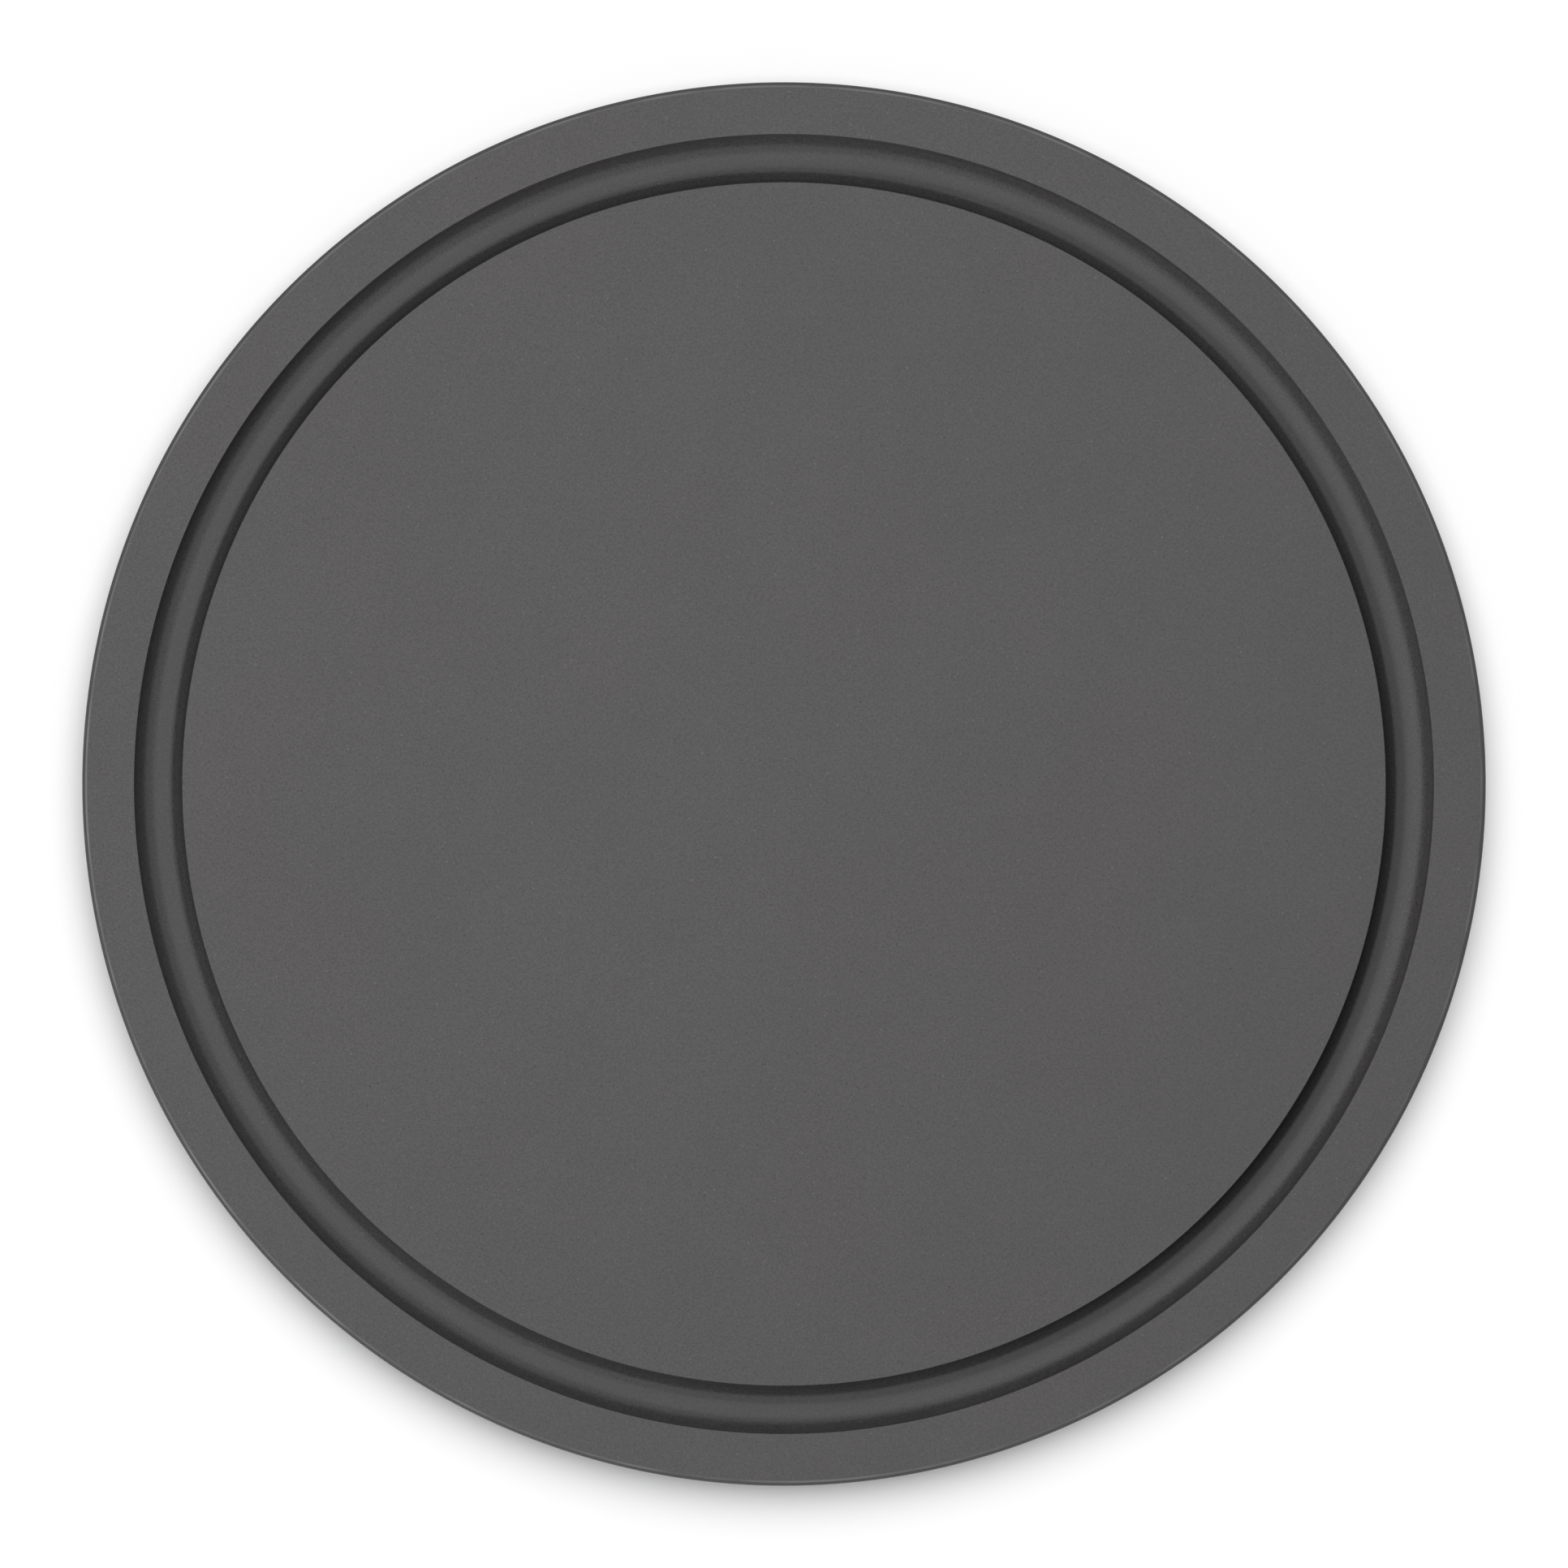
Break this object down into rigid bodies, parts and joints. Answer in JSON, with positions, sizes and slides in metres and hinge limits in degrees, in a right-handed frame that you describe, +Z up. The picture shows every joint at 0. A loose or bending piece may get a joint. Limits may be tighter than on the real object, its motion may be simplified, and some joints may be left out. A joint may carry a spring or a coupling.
{
  "type": "round cutting board",
  "caption": "Round slate-grey cutting board of bonded fibre sheets, with a round-bottomed juice groove between its cutting field and its rim, and a chamfered edge.",
  "frame": {"origin": "centre of the underside, on the surface that the board lies on", "axes": "+Z up through the middle of the disc, out of the cutting face; X and Y lie across the disc, with +Y towards the top of the picture"},
  "size_m": [0.35, 0.35, 0.012],
  "materials": {
    "fibre_composite": "through-dyed slate-grey wood fibre bonded with resin, fine-grained, satin"
  },
  "bodies": {
    "root": {"underside_face": "fibre_composite", "lower_core": "fibre_composite", "middle_core": "fibre_composite", "groove_floor_core": "fibre_composite", "upper_core_field": "fibre_composite", "upper_core_rim": "fibre_composite", "cutting_face_field": "fibre_composite", "cutting_face_rim": "fibre_composite"}
  },
  "joints": []
}
